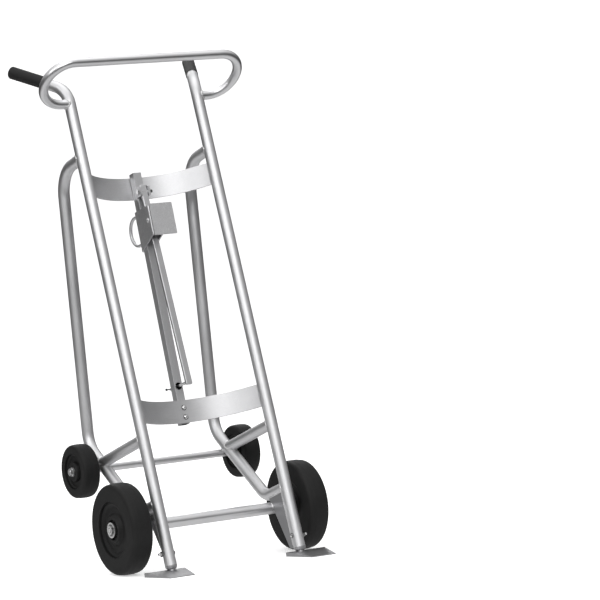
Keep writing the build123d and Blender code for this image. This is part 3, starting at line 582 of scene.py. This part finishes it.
# nodes whose look differs from the rest of their slot
NODE_MATERIALS = {
    "loop_handle": cross_metal,
    "front_axle_tube": tube_bright,
    "rear_axle_tube": tube_bright,
    "guide_bar": guide_metal,
    "lock_bar": lock_metal,
    "lock_rod": rod_metal,
    "cotter_pin": cotter_metal,
    "band_screws": screw_metal,
    "toe_bolts": toe_bolt_metal,
    "toe_nuts": toe_bolt_metal,
    "front_axle": main_axle_metal,
    "front_axle_nuts": main_axle_metal,
    "front_axle_washers": main_axle_metal,
    "rear_axle": rear_axle_metal,
    "rear_axle_nuts": rear_axle_metal,
    "rear_axle_washers": rear_axle_metal,
}


def dress_cad():
    """Gives every CAD node its slot's material, or its own."""
    for row in frame["record"]["subparts"]:
        material = NODE_MATERIALS.get(row["node"], SLOT_MATERIALS[row["material_slot"]])
        for slot in NODES[row["node"]].material_slots:
            slot.material = material


# ---------------------------------------------------------------- weld beads
def weld_tubes():
    """Rings where the rear tube's legs, the brace and the loop handle meet each rail, and at the knee."""
    for name, side in SIDES.items():
        rail = surface_of(name + "_rail")
        knee = surface_of(name + "_rear_tube")
        rings = {}
        for label, along, radius in (
            ("top_leg", LEG_TOP, RAIL_R),
            ("bottom_leg", LEG_BOTTOM, RAIL_R),
            ("brace_front", BRACE_AT, BRACE_R),
        ):
            rings[label] = joint_ring(on_rail(side, along, STANDOFF), -RAIL_BACK, radius * COPE, rail)
        in_brace = on_rail(side, BRACE_AT, BRACE_MIDDLE)
        rings["brace_back"] = joint_ring(in_brace, RAIL_BACK, BRACE_R * COPE, knee, BRACE_REACH)
        loop_end = Vector((side * LOOP_END_X, *LOOP_END_YZ))
        rings["loop"] = joint_ring(loop_end, X_DIR * -side, LOOP_R * COPE, rail)
        for label, ring in rings.items():
            make_bead(ring, True, TUBE_BEAD, f"weld_{label}_{name}", "frame", weld_metal)


def arc_points(centre, u, v, radius, start, end, count=24):
    """Points on an arc in the plane of u and v, between two angles in degrees."""
    points = []
    for i in range(count + 1):
        angle = math.radians(start + (end - start) * i / count)
        points.append(centre + u * (radius * math.cos(angle)) + v * (radius * math.sin(angle)))
    return points


def weld_gussets():
    """Fillet beads where each gusset meets its rail, the bottom leg and the axle tube."""
    middle = RAIL_X - GUSSET_INSET
    for name, side in SIDES.items():
        for face, x in (("inner", middle - GUSSET_T / 2), ("outer", middle + GUSSET_T / 2)):
            offset = RAIL_X - x
            skin = math.sqrt(RAIL_R**2 - offset**2)
            shift = Vector((-side * offset, 0, 0))
            up_rail = [on_rail(side, along, skin) + shift for along in (GUSSET_LOW, GUSSET_TOP)]
            leg_low = LEG_BOTTOM - skin
            under_leg = [on_rail(side, leg_low, back) + shift for back in (LEG_BEAD_START, GUSSET_BACK)]
            tube = Vector((side * x, MAIN_AXLE.y, MAIN_AXLE.z))
            round_tube = arc_points(tube, Vector((0, 1, 0)), Vector((0, 0, 1)), RAIL_R, *AXLE_ARC)
            for label, line in (("rail", up_rail), ("leg", under_leg), ("axle", round_tube)):
                make_bead(line, False, GUSSET_BEAD, f"weld_gusset_{face}_{label}_{name}", "frame", weld_metal)


def weld_rear_axle():
    """A saddle bead where each diagonal sits on the rear axle tube."""
    up_slope = Vector((0, math.cos(DIAGONAL_SLOPE), math.sin(DIAGONAL_SLOPE)))
    square = Vector((0, -math.sin(DIAGONAL_SLOPE), math.cos(DIAGONAL_SLOPE)))
    count = 48
    for name, side in SIDES.items():
        contact = Vector((side * RAIL_X, REAR_AXLE.y, REAR_AXLE.z)) + square * REAR_TUBE_R
        points = []
        for i in range(count):
            angle = 2 * math.pi * i / count
            across = SADDLE_HALF_WIDTH * math.cos(angle)
            along = SADDLE_HALF_LENGTH * math.sin(angle)
            below = REAR_TUBE_R - math.sqrt(REAR_TUBE_R**2 - along**2)
            above = RAIL_R - math.sqrt(RAIL_R**2 - across**2)
            points.append(contact + X_DIR * across + up_slope * along + square * ((above - below) / 2))
        make_bead(points, True, SADDLE_BEAD, f"weld_rear_axle_{name}", "frame", weld_metal)


def weld_bands():
    """Beads down both faces of each band where its ends meet the rails."""
    centre = (0.0, BAND_DEPTH - BAND_R)
    to_rail = (RAIL_X, -centre[1])
    span = math.hypot(*to_rail)
    unit = (to_rail[0] / span, to_rail[1] / span)
    half = BAND_H / 2 - BAND_BEAD_INSET
    for band, middle in BAND_MIDDLES.items():
        for face, radius in (("front", BAND_R), ("back", BAND_R + BAND_T)):
            reach = (span**2 + radius**2 - RAIL_R**2) / (2 * span)
            height = math.sqrt(radius**2 - reach**2)
            x = unit[0] * reach - unit[1] * height
            depth = centre[1] + unit[1] * reach + unit[0] * height
            for name, side in SIDES.items():
                ends = [on_rail(0, middle + z, depth) + Vector((side * x, 0, 0)) for z in (-half, half)]
                make_bead(ends, False, BAND_BEAD, f"weld_{band}_band_{face}_{name}", "frame", weld_metal)


def on_bar(x, back, up):
    """A point in the guide bar's own frame, whose origin is on its axis level with the pivot."""
    return PIVOT_FOOT + X_DIR * x + BAR_BACK * back + BAR_DIR * up


def weld_clevis_and_hook():
    """Beads beside the clevis, down both edges of the hook's neck, and round the pull loop's feet."""
    edge = BAR_HALF + CLEVIS_BEAD_OUT
    hook_bead = {"closed": False, "radius": HOOK_BEAD, "pitch": NECK_BEAD_PITCH, "ripple": HOOK_BEAD_RIPPLE}
    pull_bead = {"closed": True, "radius": PULL_BEAD, "pitch": PULL_BEAD_PITCH, "ripple": HOOK_BEAD_RIPPLE}
    neck_edges = {"sleeve": -SLEEVE_FRONT - HOOK_BEAD_OFF, "blade": -NECK_FRONT + HOOK_BEAD_OFF}
    clevis_rows = (-CLEVIS_DOWN + CLEVIS_BEAD_INSET, CLEVIS_UP - CLEVIS_BEAD_INSET)
    for name, side in SIDES.items():
        line = [on_bar(side * edge, CLEVIS_BEAD_BACK - edge, up) for up in clevis_rows]
        make_bead(line, False, CLEVIS_BEAD, f"weld_clevis_{name}", "frame", weld_metal)
        for label, back in neck_edges.items():
            line = [on_bar(side * NECK_T / 2, back, -down) for down in (NECK_TOP, NECK_BOTTOM)]
            bead = f"weld_neck_{label}_{name}"
            make_bead(line, name=bead, body="carriage", material=hook_weld, **hook_bead)
    for label, down in (("top", PULL_TOP), ("bottom", PULL_BOTTOM)):
        foot = on_bar(0, SLEEVE_BACK + HOOK_BEAD_OFF, -down)
        ring = arc_points(foot, X_DIR, BAR_DIR, PULL_ROD_R, 0, 355, 40)
        make_bead(ring, name=f"weld_pull_{label}", body="carriage", material=hook_weld, **pull_bead)


# ---------------------------------------------------------------- threads and small steel
def add_thread(name, start, end, radius, body, material, pitch=0.0014, depth=0.00035):
    """A rolled thread over a plain shank: a fine helix whose crest stands just proud of it.

    Its section is three points, (along the pitch, out by the depth), and it fades in and out at its ends.
    """
    axis = (end - start).normalized()
    u = axis.orthogonal().normalized()
    v = axis.cross(u)
    length = (end - start).length
    per_turn = 28
    steps = int(length / pitch * per_turn)
    section = ((-0.45, -0.3), (0.0, 1.0), (0.45, -0.3))
    bm = bmesh.new()
    rows = []
    for k in range(steps + 1):
        turn = 2 * math.pi * k / per_turn
        fade = min(1.0, 4.0 * min(k, steps - k) / per_turn)
        out = u * math.cos(turn) + v * math.sin(turn)
        middle = start + axis * (length * k / steps)
        row = []
        for shift, rise in section:
            along = middle + axis * (shift * pitch)
            row.append(bm.verts.new(along + out * (radius + depth * rise * (fade if rise > 0 else 1.0))))
        rows.append(row)
    for a, b in zip(rows, rows[1:]):
        for i in (0, 1):
            bm.faces.new((a[i], a[i + 1], b[i + 1], b[i]))
    mesh = bpy.data.meshes.new(name)
    bm.to_mesh(mesh)
    bm.free()
    new_object(name, mesh, body, material)


def add_wire(name, points, radius, body, material, sides=10):
    """A round wire through the points."""
    bm = bmesh.new()
    rows = []
    count = len(points)
    for k, point in enumerate(points):
        tangent = (points[min(count - 1, k + 1)] - points[max(0, k - 1)]).normalized()
        u = tangent.cross(X_DIR)
        if u.length < 0.1:
            u = tangent.cross(BAR_DIR)
        u.normalize()
        v = tangent.cross(u)
        row = []
        for j in range(sides):
            angle = 2 * math.pi * j / sides
            row.append(bm.verts.new(point + (u * math.cos(angle) + v * math.sin(angle)) * radius))
        rows.append(row)
    for a, b in zip(rows, rows[1:]):
        for j in range(sides):
            following = (j + 1) % sides
            bm.faces.new((a[j], a[following], b[following], b[j]))
    bm.faces.new(list(reversed(rows[0])))
    bm.faces.new(rows[-1])
    mesh = bpy.data.meshes.new(name)
    bm.to_mesh(mesh)
    bm.free()
    for polygon in mesh.polygons:
        polygon.use_smooth = True
    new_object(name, mesh, body, material)


def add_cotter_ends():
    """The cotter pin's eye on one side, and its two legs bent apart on the other."""
    low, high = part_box("cotter_pin")
    centre = (Vector(low) + Vector(high)) / 2
    eye = centre - X_DIR * (COTTER_SPAN / 2)
    loop = arc_points(eye, X_DIR, BAR_DIR, COTTER_EYE_R, 0, 345)
    add_wire("cotter_eye", loop, COTTER_R * 0.8, "lock", cotter_metal)
    bend_start = centre + X_DIR * (COTTER_SPAN / 2 - COTTER_BEND)
    steps = 12
    for label, up in (("upper", 1), ("lower", -1)):
        points = []
        for i in range(steps + 1):
            angle = math.radians(COTTER_SPREAD * i / steps)
            out = COTTER_BEND * math.sin(angle)
            rise = COTTER_BEND * (1 - math.cos(angle)) + COTTER_R / 2
            points.append(bend_start + X_DIR * out + BAR_DIR * (up * rise))
        add_wire(f"cotter_leg_{label}", points, COTTER_R * 0.75, "lock", cotter_metal)


def add_threads():
    """Rolled threads on the ends of the pivot bolt and the toe bolts, where they come out of their nuts."""
    nut_end = LOCK_HALF + EAR_GAP + EAR_T + PIVOT_NUT_H
    pivot = on_bar(0, -PIVOT_OFFSET, 0)
    thread = [pivot + X_DIR * x for x in (nut_end, nut_end + PIVOT_PROUD)]
    add_thread("thread_pivot", *thread, PIVOT_BOLT_R, "frame", bright_metal)
    for name, side in SIDES.items():
        at = on_rail(side, TOE_BOLT_AT)
        ends = [at + X_DIR * (side * (RAIL_R + x)) for x in (TOE_NUT_H, TOE_BOLT_REACH - TOE_BOLT_TIP)]
        add_thread(f"thread_toe_{name}", *ends, TOE_BOLT_R, "frame", bright_metal)


# ---------------------------------------------------------------- studio
def add_sheet(name, profile, half, material):
    """A stage surface: an outline of (y, z) points drawn out sideways, turned to face the camera."""
    bm = bmesh.new()
    rows = []
    for x in (-half, half):
        rows.append([bm.verts.new((x, y, z)) for y, z in profile])
    for i in range(len(profile) - 1):
        bm.faces.new((rows[0][i], rows[1][i], rows[1][i + 1], rows[0][i + 1]))
    mesh = bpy.data.meshes.new(name)
    bm.to_mesh(mesh)
    bm.free()
    for polygon in mesh.polygons:
        polygon.use_smooth = True
    sheet = bpy.data.objects.new(name, mesh)
    sheet.matrix_world = Matrix.Rotation(math.radians(CAMERA_AZIMUTH), 4, "Z")
    bpy.context.scene.collection.objects.link(sheet)
    mesh.materials.append(material)
    return sheet


def add_stage():
    """A pale floor that curves up into a backdrop, and in its place in reflections a bright card under
    the truck."""
    half = 18.0
    back = 15.0
    bend = 3.0
    top = 12.0
    steps = 12
    profile = [(-half, 0.0), (back - bend, 0.0)]
    for i in range(1, steps + 1):
        angle = math.radians(90 * i / steps)
        profile.append((back - bend + bend * math.sin(angle), bend - bend * math.cos(angle)))
    profile.append((back, top))
    sweep = add_sheet("studio_sweep", profile, half, floor_material())
    sweep.visible_glossy = False
    card_half = 2.2
    card_height = -0.004
    card_line = [(-card_half, card_height), (card_half, card_height)]
    card = add_sheet("studio_bounce", card_line, card_half, bounce_material())
    card.visible_camera = False
    card.visible_diffuse = False


def add_world():
    """Studio surroundings: dark round the horizon and behind the truck, bright overhead, and plain white
    where the camera looks past the stage."""
    world = bpy.data.worlds.new("studio")
    world.use_nodes = True
    tree = world.node_tree
    background = tree.nodes["Background"]
    direction = tree.nodes.new("ShaderNodeTexCoord").outputs["Generated"]
    height = tree.nodes.new("ShaderNodeSeparateXYZ")
    tree.links.new(direction, height.inputs["Vector"])
    by_height = tree.nodes.new("ShaderNodeMapRange")
    by_height.interpolation_type = "SMOOTHSTEP"
    tree.links.new(height.outputs["Z"], by_height.inputs["Value"])
    for key, value in (("From Min", 0.05), ("From Max", 0.75), ("To Min", 0.07), ("To Max", 0.82)):
        by_height.inputs[key].default_value = value
    away = Vector((math.sin(math.radians(-CAMERA_AZIMUTH)), math.cos(math.radians(-CAMERA_AZIMUTH)), 0))
    towards = tree.nodes.new("ShaderNodeVectorMath")
    towards.operation = "DOT_PRODUCT"
    tree.links.new(direction, towards.inputs[0])
    towards.inputs[1].default_value = away
    flag = tree.nodes.new("ShaderNodeMapRange")
    flag.interpolation_type = "SMOOTHSTEP"
    tree.links.new(towards.outputs["Value"], flag.inputs["Value"])
    for key, value in (("From Min", 0.45), ("From Max", 0.95), ("To Min", 1.0), ("To Max", 0.25)):
        flag.inputs[key].default_value = value
    strength = tree.nodes.new("ShaderNodeMath")
    strength.operation = "MULTIPLY"
    tree.links.new(by_height.outputs["Result"], strength.inputs[0])
    tree.links.new(flag.outputs["Result"], strength.inputs[1])
    seen = tree.nodes.new("ShaderNodeMath")
    seen.operation = "MAXIMUM"
    tree.links.new(strength.outputs["Value"], seen.inputs[0])
    tree.links.new(tree.nodes.new("ShaderNodeLightPath").outputs["Is Camera Ray"], seen.inputs[1])
    tree.links.new(seen.outputs["Value"], background.inputs["Strength"])
    background.inputs["Color"].default_value = (1.0, 1.0, 1.0, 1)
    bpy.context.scene.world = world


def add_studio():
    """The world and four soft panels: (name, place, azimuth, elevation, size, energy)."""
    add_world()
    add_light("key", (-1.9, -4.2, 3.4), -24, 32, (3.8, 2.4), 78)
    add_light("left", (-4.6, -1.6, 3.2), -71, 30, (2.6, 2.2), 50)
    add_light("top", (0.0, 0.0, 4.2), 0, 90, (3.0, 3.0), 26)
    add_light("back", (1.8, 4.0, 3.0), 157, 32, (2.4, 1.8), 50)
    bpy.context.scene.view_settings.view_transform = "Standard"


dress_cad()
weld_tubes()
weld_gussets()
weld_rear_axle()
weld_bands()
weld_clevis_and_hook()
add_cotter_ends()
add_threads()
add_camera()
add_stage()
add_studio()
